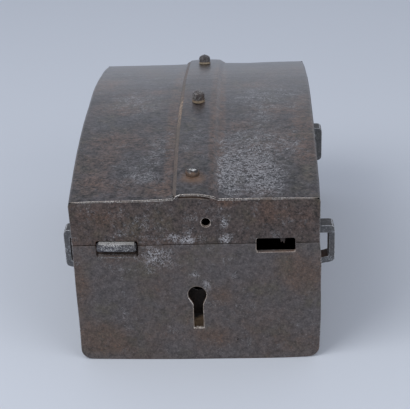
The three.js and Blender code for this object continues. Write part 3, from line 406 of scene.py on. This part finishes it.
def uneven(point):
    """The waviness of hand-forged plates: none at the floor and almost none at the hinges. The sides bulge a
    little, the front's foot flares, and the lid's crown, its two ends and the low corners aren't quite true.
    All of its lengths are in mm."""
    x, y, z = point / MM

    # The waves
    hold = between(0, z, 20) * max(AT_HINGES, between(90, y, 50))
    slow = noise.noise_vector(point / LONG_WAVE) * LONG_RISE
    quick = noise.noise_vector(point / SHORT_WAVE + OTHER_WAVES) * SHORT_RISE
    move = (slow + quick) * hold
    side = between(0, abs(x), HALF_WIDTH) ** 3

    # The left side bulges, less at mid-length and more at the top of its rear, and the right side's belly
    # swells towards the front
    if x < 0:
        bulge = 0.35 * between(-HALF_DEPTH, y, -60) + 0.2 * between(-60, y, 30) - 0.4 * hump(y, -2, 15)
        move.x -= side * bulge * between(20, z, 60)
        move.x -= side * 0.7 * between(50, y, 95) ** 2 * between(70, z, 84)
    else:
        belly = 0.7 * hump(z, 53, 8) + 0.85 * hump(z, 29, 19)
        move.x += side * between(-40, y, -90) * belly
        move.x += side * 0.35 * between(SEAM, z, 80) * between(-HALF_DEPTH, y, -86)

    # The lid's crown is high at the front. At the rear it is high along the lap and sunk beside it.
    if z > SEAM:
        front, rear = between(-45, y, -HALF_DEPTH), between(50, y, HALF_DEPTH)
        above = between(SEAM, z, 88)
        crown = 0.6 * (1 - min(1.0, abs(x) / HALF_WIDTH) ** 6) + 0.75 * hump(x, -4, 17)
        move.z += crown * front * above
        sunk = 0.5 * between(-4, x, -16) + 0.3 * hump(x, 26, 9)
        move.z += (0.6 * hump(x, 0, 9) - sunk) * rear * above
        midway = (1 - between(0, abs(y), HALF_DEPTH) ** 2) * (1 - between(0, abs(x), HALF_WIDTH) ** 2)
        move.z += 0.4 * between(SEAM, z, 90) * midway
        settled = max(0.0, 1 - abs(x - 8.4) / 4.4)  # the upper plate comes down gently at the front
        move.z -= 1.1 * settled * between(-86, y, -98) * between(84, z, 88)

    # The low corners are lifted, and the front's foot flares
    move.z += 0.5 * between(12, z, 0) * side
    corner = min(abs(x), HALF_WIDTH) / HALF_WIDTH
    flare = (0.7 + 0.8 * between(-50, x, -10)) * (1 - 0.9 * corner ** 7)
    move.y -= flare * between(26, z, 0) ** 1.5 * between(-80, y, -HALF_DEPTH)
    return point + move * MM


LOOP_REACH = {"loop_front_left": 0.97, "loop_rear_right": 1.14}


def fit_loop(point, node):
    """Two loops aren't bent like the rest: one stands a little closer and one a little further out."""
    reach = LOOP_REACH.get(node)
    if reach and abs(point.x) > HALF_WIDTH * MM:
        base = math.copysign(HALF_WIDTH * MM, point.x)
        return Vector((base + (point.x - base) * reach, point.y, point.z))
    return point


LAP_DRAWN = 2.5  # how far the lower plate is drawn towards the upper one, in mm
LAP_SETTLED = 1.5  # how far the upper one's corner is hammered down, in mm


def settle_lap(point, node):
    """At the lid's front the lower plate runs on to the upper one, whose corner is hammered down to it."""
    x, y, z = point / MM
    if y < -96.85 and z > 86.4:
        if node in ("lid_plate_left", "lid_front_wall"):
            near = min(between(-16, x, -12.9), between(-4, x, -10.3))
            return point + Vector((LAP_DRAWN * near, 0, 0)) * MM
        if node == "lid_plate_right":
            return point - Vector((0, 0, LAP_SETTLED * between(-7.4, x, -9.3))) * MM
    return point


def cut_faces(bm, place, normal):
    """Splits every face that a plane passes through, and moves nothing."""
    bmesh.ops.bisect_plane(bm, geom=bm.verts[:] + bm.edges[:] + bm.faces[:], dist=1e-7,
                           plane_co=place, plane_no=normal)


# The lap's lip on the front wall, in mm
LAP_LEFT, LAP_RIGHT = -9.6, 7.4  # before the lap is settled
LIP_FOOT, GAP_FOOT, GAP_TOP = 87.5, 88.15, 89.12
GAP_DEPTH, LIP_PROUD, LIP_SLOPE = -0.6, 0.25, 0.02


def open_lap(bm):
    """Cuts the front wall back under the upper plate's lip, and leaves a narrow lip proud below that gap. The
    gap is painted dark as shade, in the inside's rust.
    """
    for x in (LAP_LEFT, LAP_RIGHT):
        cut_faces(bm, Vector((x, 0, 0)) * MM, (1, 0, 0))
    for z in (GAP_FOOT, LIP_FOOT, GAP_TOP):
        cut_faces(bm, Vector((0, 0, z)) * MM, (0, 0, 1))
    gap, lip = (GAP_FOOT, GAP_TOP, GAP_DEPTH, RUST_AND_PAINTED_SHADING), (LIP_FOOT, GAP_FOOT, LIP_PROUD, CUT)
    for low, high, depth, paint in (gap, lip):
        strip = []
        for face in bm.faces:
            x, _, z = face.calc_center_median() / MM
            if face.normal.y < -0.99 and LAP_LEFT < x < LAP_RIGHT and low < z < high:
                strip.append(face)
                face.material_index = paint
        made = bmesh.ops.inset_region(bm, faces=strip, thickness=LIP_SLOPE * MM, depth=depth * MM,
                                      use_even_offset=True)
        for face in made["faces"]:
            face.material_index = paint


# Where the rivets that are filed flush stand on the end plates
flush_rivets = []
for name in frame["nodes"]:
    if ("rivet" in name or name == "lock_stud") and "ridge" not in name:
        low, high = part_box(name)
        flush_rivets.append(((low.x + high.x) / 2, (low.z + high.z) / 2, low.y if low.y < 0 else high.y))


HOLE_RADIUS, HOLE_DEPTH = 2.6 * MM, 6 * MM  # a little more than those of a flush rivet's hole


def at_rivet(edge):
    """True for an edge of a flush rivet's hole, which is filed level and shows no worn corner."""
    for x, z, face in flush_rivets:
        if all(math.hypot(v.co.x - x, v.co.z - z) < HOLE_RADIUS and abs(v.co.y - face) < HOLE_DEPTH
               for v in edge.verts):
            return True
    return False


# What each place in a node's list of materials is for
# The third place holds rust. It is also where painted shade goes in recesses and under things, and painted
# light on the ridge rivets' feet.
MAIN, CORNER, RUST_AND_PAINTED_SHADING, RIM, LIP, CUT, SIDE = range(7)

# Areas of the front, as lowest x, highest x, lowest z and highest z, in mm
BAR_WINDOW = (-51, -25, 58.5, 67.8)
EMPTY_WINDOW = (28.5, 50, 58.5, 67.8)
EMPTY_WINDOW_TOP = (30.5, 50, 61, 68)  # with its right side
KEYHOLE = (-6, 6, 16, 43)
SMALL_HOLE = (2, 9, 72, 80)
WALL_Y, LIP_Y = -98.3, 98.6  # what lies further out than these is on the front's face, and on the lid's lips
LID_TOP = 86  # the lid's top and its lips are higher than this
LAP_EDGE = (-10.6, -8.1)  # the upper plate's cut edge lies between these
FOOT_ROUND = 3  # the round under the body is lower than this
SEAM_FOOT = 63.5  # from here up to SEAM a corner is that of the seam, apart from the empty window's


def within(x, z, area):
    """True for a place inside an area of the front."""
    left, right, low, high = area
    return left < x < right and low < z < high


def corner_paint(point, normal, skins):
    """What a worn corner of a sheet shows. The lid's front and rear lips and the filed rims are bright. The
    round under the body and the window behind the bar are painted dark as shade, in the inside's rust. The
    seam between lid and body, and the empty window's right side and top, aren't worn."""
    x, y, z = point / MM
    if len(skins) <= CUT:
        return CORNER
    if z < FOOT_ROUND:
        return RUST_AND_PAINTED_SHADING
    at_front = y < WALL_Y
    if at_front and within(x, z, BAR_WINDOW):
        return RUST_AND_PAINTED_SHADING
    if at_front and SEAM_FOOT < z < SEAM and not 28 < x < 49:
        return MAIN
    if at_front and within(x, z, EMPTY_WINDOW_TOP):
        return MAIN
    if z > LID_TOP and abs(y) > LIP_Y:
        return LIP if normal.z > 0.3 else CORNER
    if z > LID_TOP and LAP_EDGE[0] < x < LAP_EDGE[1]:
        return CUT
    if at_front and any(within(x, z, rim) for rim in (KEYHOLE, SMALL_HOLE, EMPTY_WINDOW)):
        return RUST_AND_PAINTED_SHADING if z > 58 and normal.z > 0.6 else RIM  # a sill up there lies in the shade
    return CORNER


def sheet_paint(face, skins):
    """Sheets are rusted on the inside, and the sills and tops of the windows take that rust as painted shade.
    The foot of the keyhole and of the small hole, and the lap's cut edge, are bright; the feet face up, and
    are filed metal with a painted highlight. The lid's sides can have a skin of their own: the body's paler
    one, since the top of the same sheet is painted darker against its light."""
    middle = face.calc_center_median()
    if middle.y < -96 * MM:
        if abs(face.normal.z) > 0.9 and 58 * MM < middle.z < 68 * MM:
            return RUST_AND_PAINTED_SHADING
        if face.normal.z > 0.6 and abs(middle.x) < 10 * MM and middle.z < 80 * MM:
            return RIM
    place = corner_paint(middle, face.normal, skins)
    at_end = abs(face.normal.y) > 0.9 and face.normal.y * middle.y > HALF_DEPTH * MM
    if place == LIP and at_end:
        return CORNER
    if place == CUT and face.normal.x < -0.4:
        return CUT
    # The lid's sides take the body's paler skin; the top of the same sheet is painted darker, as shade
    # against its light.
    if len(skins) > SIDE and abs(face.normal.x) > 0.7 and face.normal.x * middle.x > 0:
        return SIDE
    return RUST_AND_PAINTED_SHADING if face.normal.dot(BOX_MIDDLE - middle) > 0 else MAIN


def lug_paint(face, skins):
    """The bar outside the lid is rubbed bright, and its top is painted paler still as a highlight. Its
    underside is painted dark as shade, and its leaf is dark.
    """
    if face.calc_center_median().y > FRONT_Y + 1.5 * MM or face.normal.z < -0.55:
        return RUST_AND_PAINTED_SHADING
    return RIM if face.normal.z > 0.8 else MAIN


# The stain on a ridge rivet's foot is rust, painted pale as painted light.
STAIN_FOOT, STAIN_TOP = -1 * MM, 1.7 * MM  # how high the stain on a ridge rivet begins and ends


def ridge_paint(face, skins):
    """A ridge rivet is stained with rust where it stands on the plate, a stain painted pale as painted light,
    and dark above that and inside the lid.
    """
    middle = face.calc_center_median()
    proud = math.hypot(middle.y, middle.z - ARCH_CENTRE) - ARCH_RADIUS - LAP_STEP
    return RUST_AND_PAINTED_SHADING if STAIN_FOOT < proud < STAIN_TOP else MAIN


LOOP_HOLE = Vector((63.5, 0, 48)) * MM  # on the right side


def loop_paint(face, skins):
    """A loop is painted dark round its hole, as rust and painted shade, and dark on top as painted shade."""
    middle = face.calc_center_median()
    if face.normal.z > 0.7 and middle.z > 50 * MM:
        return RIM
    hole = Vector((math.copysign(LOOP_HOLE.x, middle.x), middle.y, LOOP_HOLE.z))
    return RUST_AND_PAINTED_SHADING if face.normal.dot(hole - middle) > 0.8 * (hole - middle).length else MAIN


def plain_paint(face, skins):
    """A small piece is the same all over."""
    return MAIN


WORN_WIDTH = 0.4 * MM  # a face of a bevel is narrower than this, and a whole face is wider
WORN_ANGLE = math.radians(32)  # a corner that turns by more than this is worn
CREASE_ANGLE = math.radians(50)  # an edge that turns by more than this isn't shaded smooth
FLAT_ANGLE = math.radians(0.4)  # faces that turn by less than this become one


def forge(node, skins, paint, edge, cell):
    """Dresses a node: its copy with worn edges and the waviness of forged iron stands for it. edge is the
    width of its worn edges, in mm. A cell above 0 splits its faces to about that size, in mm, because large
    faces can't follow the waviness."""
    mesh = frame["nodes"][node].data.copy()
    bm = bmesh.new()
    bm.from_mesh(mesh)
    bmesh.ops.remove_doubles(bm, verts=bm.verts, dist=1e-6)
    bmesh.ops.dissolve_limit(bm, angle_limit=FLAT_ANGLE, verts=bm.verts, edges=bm.edges)
    for face in bm.faces:
        face.material_index = paint(face, skins)
    if node in ("lid_front_wall", "lid_rear_wall"):
        fill_corners(bm)
    elif node == "lock_case":
        lengthen_back(bm)
    elif node == "front_plate":
        file_sills(bm)
    elif node == "broken_leaf":
        droop_scrap(bm)
    if "rivet" in node and "ridge" not in node:
        grow_head(bm, node)
    else:
        corners = [e for e in bm.edges if e.is_manifold and e.calc_face_angle(0) > WORN_ANGLE]
        corners = [e for e in corners if not at_rivet(e)]
        made = bmesh.ops.bevel(bm, geom=corners, offset=edge * MM, offset_type="OFFSET", segments=2,
                               profile=0.5, affect="EDGES", clamp_overlap=False, material=-1)
        for face in made["faces"]:
            if 2 * face.calc_area() < WORN_WIDTH * face.calc_perimeter():
                face.material_index = corner_paint(face.calc_center_median(), face.normal, skins)
    if cell:
        low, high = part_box(node)
        for axis in range(3):
            count = int((high[axis] - low[axis]) / (cell * MM))
            for k in range(1, count):
                normal = Vector((axis == 0, axis == 1, axis == 2))
                cut_faces(bm, low.lerp(high, k / count), normal)
    if node == "front_lug":
        wear_bar(bm)
    elif "ridge" in node:
        round_head(bm, node)
        for face in bm.faces:
            face.material_index = paint(face, skins)
    elif node == "lid_front_wall":
        open_lap(bm)
    for vert in bm.verts:
        vert.co = uneven(fit_loop(settle_lap(vert.co, node), node))
    for face in bm.faces:
        face.smooth = True
    for e in bm.edges:
        e.smooth = not (e.is_manifold and e.calc_face_angle(0) > CREASE_ANGLE)
    mesh.name = node + "_forged"
    mesh.materials.clear()
    for skin in skins:
        mesh.materials.append(skin)
    bm.to_mesh(mesh)
    bm.free()
    piece = bpy.data.objects.new(node + "_forged", mesh)
    bpy.context.scene.collection.objects.link(piece)
    finish = piece.modifiers.new("flat_faces", "WEIGHTED_NORMAL")
    finish.keep_sharp = True
    finish.weight = 80  # large faces count most, so they look flat up to their worn edges
    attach(piece, frame["nodes"][node]["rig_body"])
    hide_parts(node)


SCRAP_TOP = 67.4  # what is higher than this stays where it is, in mm
SCRAP_DROP = 1.1  # how much longer the scrap gets, as a share of its length


def droop_scrap(bm):
    """Draws the broken leaf's scrap down to where the photograph shows it in the empty window."""
    for vert in bm.verts:
        x, _, z = vert.co / MM
        if 40.8 < x < 48 and z < SCRAP_TOP:
            vert.co.z -= SCRAP_DROP * (SCRAP_TOP - z) * MM


SILL = 60.1  # the height of the right sill as it is cut, in mm
SILL_RAISED, SILL_SLOPE = 1.0, 1.8  # of the left one, in mm
SILL_LIP = 0.7  # of the right one, in mm


def file_sills(bm):
    """Files the sills of the two front windows. The left one slopes down to the front, in the shadow of the
    bar, and the right one stands up to a thin lip."""
    for vert in bm.verts:
        x, y, z = vert.co / MM
        front = between(-97.1, y, -99.1)
        if -50 < x < -26 and 58.5 < z < 62 and y < -96:
            vert.co.z += (SILL_RAISED - SILL_SLOPE * front) * MM
        elif 27.5 < x < 50 and y < -96:
            near = between(65, z, SILL) if z > SILL else between(52, z, SILL)
            vert.co.z += SILL_LIP * front * near * MM


HEAD_RADIUS, HEAD_GROWTH = 2.4, 0.06  # of a flush rivet, in mm
HAIR = 0.01 * MM  # closer than this is at the same place


def grow_head(bm, node):
    """Spreads a flush rivet's head until it fills its countersink, as hammering does."""
    low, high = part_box(node)
    middle_x, middle_z = (low.x + high.x) / 2, (low.z + high.z) / 2
    spread = 1 + HEAD_GROWTH / HEAD_RADIUS
    for vert in bm.verts:
        if min(abs(vert.co.y - FRONT_Y), abs(vert.co.y + FRONT_Y)) < HAIR:
            vert.co.x = middle_x + (vert.co.x - middle_x) * spread
            vert.co.z = middle_z + (vert.co.z - middle_z) * spread


FOLD_X, FOLD_Z = 58.4, 85.9  # the centre of the lid plates' folds at the end walls, in mm
CORNER_GAP = 0.22  # between a wall's corner and the fold round it, in mm


def fill_corners(bm):
    """Brings an end wall's upper corners up to the folds of the lid plates, as hammering closes them."""
    for side in (-1, 1):
        bend = Vector((side * FOLD_X, 0, FOLD_Z)) * MM
        for vert in bm.verts:
            out = Vector((vert.co.x - bend.x, 0, vert.co.z - bend.z))
            if out.x * side > -HAIR and out.z > -HAIR and out.length > 1 * MM:
                vert.co += out.normalized() * CORNER_GAP * MM


BACK_BEND = 4 * MM  # how far above its lower edge the lock case's back bends
BACK_DROP, FOOT_FORWARD = 3.6 * MM, 5.5 * MM


def lengthen_back(bm):
    """Draws the lock case's back down and forward, behind the foot of the keyhole, where the photograph
    shows it."""
    low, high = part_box("lock_case")
    cut_faces(bm, (0, 0, low.z + BACK_BEND), (0, 0, 1))
    for vert in bm.verts:
        if vert.co.z < low.z + 0.5 * MM:
            vert.co.z -= BACK_DROP
            if vert.co.y > high.y - 2 * MM:  # only the back, and not the case's rim
                vert.co.y -= FOOT_FORWARD


BAR_RADIUS = 2.6 * MM
WORN_FRONT, WORN_TOP, WORN_UNDER = 2.3 * MM, 2.25 * MM, 1.5 * MM  # what is left of it each way


def wear_bar(bm):
    """Flattens the bar a little on its front and its top, and more on its underside."""
    low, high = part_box("front_lug")
    axis = Vector((0, low.y + BAR_RADIUS, low.z + BAR_RADIUS))
    for vert in bm.verts:
        if vert.co.y < FRONT_Y + 1.2 * MM:
            vert.co.y = max(vert.co.y, axis.y - WORN_FRONT)
            vert.co.z = max(min(vert.co.z, axis.z + WORN_TOP), axis.z - WORN_UNDER)


FOOT_SPREAD = 0.12  # how far hammering spreads a ridge rivet's foot, as a share of its radius
FOOT_HEIGHT = 1.6 * MM  # how high that spread reaches
MIDDLE_TALLER = 1.15  # the middle rivet's head is struck less than the others
SQUARENESS = 2.4  # of a head's outline: 2 is round, and more is squarer
CROWN_WIDTH = 0.45  # of a head's flat top, as a share of its own width
UPRIGHT = 0.5  # up to this share of its height a head doesn't narrow
HEAD_PLANES, HEAD_RINGS = 12, 8  # what splits a head, through its axis and across it


def round_head(bm, node):
    """Rounds a ridge rivet's head over, as a hammer leaves it."""
    low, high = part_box(node)
    middle = (low + high) / 2
    centre = Vector((middle.x, 0, ARCH_CENTRE))
    axis = Vector((0, middle.y, middle.z - ARCH_CENTRE)).normalized()
    foot = ARCH_RADIUS + LAP_STEP
    height = max((v.co - centre).dot(axis) for v in bm.verts) - foot
    taller = MIDDLE_TALLER if "middle" in node else 1.0
    turn = Matrix.Rotation(math.pi / HEAD_PLANES, 3, axis)
    side = Vector((1, 0, 0))
    for _ in range(HEAD_PLANES):
        cut_faces(bm, centre, side)
        side = turn @ side
    for ring in range(1, HEAD_RINGS):
        cut_faces(bm, centre + axis * (foot + height * ring / HEAD_RINGS), axis)
    for vert in bm.verts:
        up = (vert.co - centre).dot(axis)
        rise = between(UPRIGHT, (up - foot) / height, 1)
        inset = max(CROWN_WIDTH, (1 - rise ** SQUARENESS) ** (1 / SQUARENESS))
        inset += FOOT_SPREAD * between(FOOT_HEIGHT, up - foot, 0) ** 2
        trunk = centre + axis * up
        spread = (vert.co - trunk) * inset
        vert.co = trunk + spread + axis * max(0.0, up - foot) * (taller - 1)


SHEETS = ["body_wrap", "front_plate", "rear_plate", "lid_plate_left", "lid_plate_right", "lid_front_wall",
          "lid_rear_wall"]
GRID = 4.0  # the size that the faces of large pieces are split to, in mm
WORN_EDGE, WORN_PLATE, WORN_WALL = 0.25, 0.28, 0.35  # widths of worn edges, in mm
SKINS = {
    "forged_iron": [body_iron, rubbed_edge, inside_rust_and_shade, filed_edge, lid_lip, cut_edge],
    "lid_iron": [lid_iron, rubbed_edge, inside_rust_and_shade, filed_edge, lid_lip, cut_edge, body_iron],
    "lid_front": [front_iron, rubbed_edge, inside_rust_and_shade, filed_edge, lid_lip, cut_edge],
    "bare_steel": [bar_steel, bar_steel, inside_rust_and_shade, bar_top_highlight],
    "dark_iron": [loop_iron, loop_edge, inside_rust_and_shade, loop_top_shade],
    "lock_iron": [lock_iron, rubbed_edge],
}
for entry in frame["record"]["subparts"]:
    node, slot = entry["node"], entry["material_slot"]
    skins = SKINS[slot]
    paint, edge, cell = plain_paint, WORN_EDGE, 0.0
    if node in SHEETS:
        paint, edge, cell = sheet_paint, WORN_PLATE if "lid_plate" in node else WORN_WALL, GRID
        skins = SKINS["lid_front"] if node == "lid_front_wall" else skins
    elif node == "front_lug":
        paint = lug_paint
    elif "ridge" in node:
        head, foot = (low_rivet, low_base) if "front" in node else (rivet_iron, rust_and_lit_foot)
        skins, paint = [head, head, foot], ridge_paint
    elif node == "broken_leaf":
        skins = [lock_iron, lock_iron]  # its broken edges are as rusty as the rest
    elif "rivet" in node:
        low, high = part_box(node)
        skins = SKINS["lid_front" if low.z > SEAM * MM and low.y < 0 else "forged_iron"]
    elif "loop" in node:
        paint = loop_paint
    elif node == "lock_case":
        cell = GRID
    forge(node, skins, paint, edge, cell)

# Stage

FLOOR_REACH = 3.0
floor_mesh = bpy.data.meshes.new("floor")
bm = bmesh.new()
bmesh.ops.create_grid(bm, x_segments=1, y_segments=1, size=FLOOR_REACH)
bm.to_mesh(floor_mesh)
bm.free()
floor = bpy.data.objects.new("floor", floor_mesh)
bpy.context.scene.collection.objects.link(floor)
floor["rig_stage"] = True
# Matt paper: plain, pale and cool, and a shade darker towards the back
paper, tree = new_material("grey_paper")
place = add_node(tree, "SeparateXYZ", {}, {"Vector": add_node(tree, "TexCoord").outputs["Object"]})
far = add_node(tree, "MapRange", {}, {"Value": place.outputs["Y"], "From Min": -0.15, "From Max": 0.5})
shade = add_node(tree, "Mix", COLOURS, {0: far, "A": linear("cdd2da"), "B": linear("cbd0d8")})
shader = add_node(tree, "BsdfPrincipled", {}, {
    "Base Color": shade, "Roughness": 0.9, "Specular IOR Level": 0.1})
add_node(tree, "OutputMaterial", {}, {"Surface": shader})
floor_mesh.materials.append(paper)

world = bpy.data.worlds.new("studio")
bpy.context.scene.world = world
world.use_nodes = True
tree = world.node_tree
tree.nodes.clear()
path = add_node(tree, "LightPath")
# What the iron mirrors is a little paler than what lights it
glow = add_node(tree, "MapRange", {}, {
    "Value": path.outputs["Is Glossy Ray"], "To Min": 0.85, "To Max": 1.0})
shader = add_node(tree, "Background", {}, {"Color": linear("cacfda"), "Strength": glow})
add_node(tree, "OutputWorld", {}, {"Surface": shader})


def lamp(name, place, aim, size, watts):
    """A white square lamp, which faces its aim."""
    light = bpy.data.lights.new(name, "AREA")
    light.shape = "SQUARE"
    light.size = size
    light.energy = watts
    holder = bpy.data.objects.new(name, light)
    holder.location = place
    holder.rotation_euler = (Vector(aim) - Vector(place)).to_track_quat("-Z", "Y").to_euler()
    bpy.context.scene.collection.objects.link(holder)


LAMP_AIM = (0, 0, 0.05)
lamp("soft_key", (-0.6, -0.5, 0.9), LAMP_AIM, size=0.7, watts=6.0)
lamp("soft_fill", (0.8, -0.7, 0.6), LAMP_AIM, size=0.8, watts=3.0)

# Camera, measured on the photograph: its outline fitted with a box of this one's proportions

FOCAL_PIXELS = 1191.56
PICTURE_WIDTH = 410
SENSOR_WIDTH = 36
PITCH, YAW, ROLL = 0.4486, -0.0481, -0.0393
# Where the middle of the front's foot is: right, up and forward, in box widths
BOX_IN_VIEW = (-0.0202, -0.6453, 5.0287)
BOX_WIDTH = 0.120

turn_z = Matrix(((math.cos(YAW), -math.sin(YAW), 0), (math.sin(YAW), math.cos(YAW), 0), (0, 0, 1)))
tilt = Matrix(((1, 0, 0), (0, math.sin(PITCH), math.cos(PITCH)), (0, math.cos(PITCH), -math.sin(PITCH))))
lean = Matrix(((math.cos(ROLL), math.sin(ROLL), 0), (-math.sin(ROLL), math.cos(ROLL), 0), (0, 0, 1)))
view = lean @ tilt @ turn_z
place = -(view.transposed() @ Vector(BOX_IN_VIEW)) * BOX_WIDTH
place.y += FRONT_Y
camera_data = bpy.data.cameras.new("camera")
camera_data.sensor_width = SENSOR_WIDTH
camera_data.lens = FOCAL_PIXELS / PICTURE_WIDTH * SENSOR_WIDTH
camera = bpy.data.objects.new("camera", camera_data)
bpy.context.scene.collection.objects.link(camera)
camera.matrix_world = Matrix((
    (view[0][0], view[1][0], -view[2][0], place.x),
    (view[0][1], view[1][1], -view[2][1], place.y),
    (view[0][2], view[1][2], -view[2][2], place.z),
    (0, 0, 0, 1),
))
bpy.context.scene.camera = camera
bpy.context.scene.view_settings.view_transform = "Standard"

low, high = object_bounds()
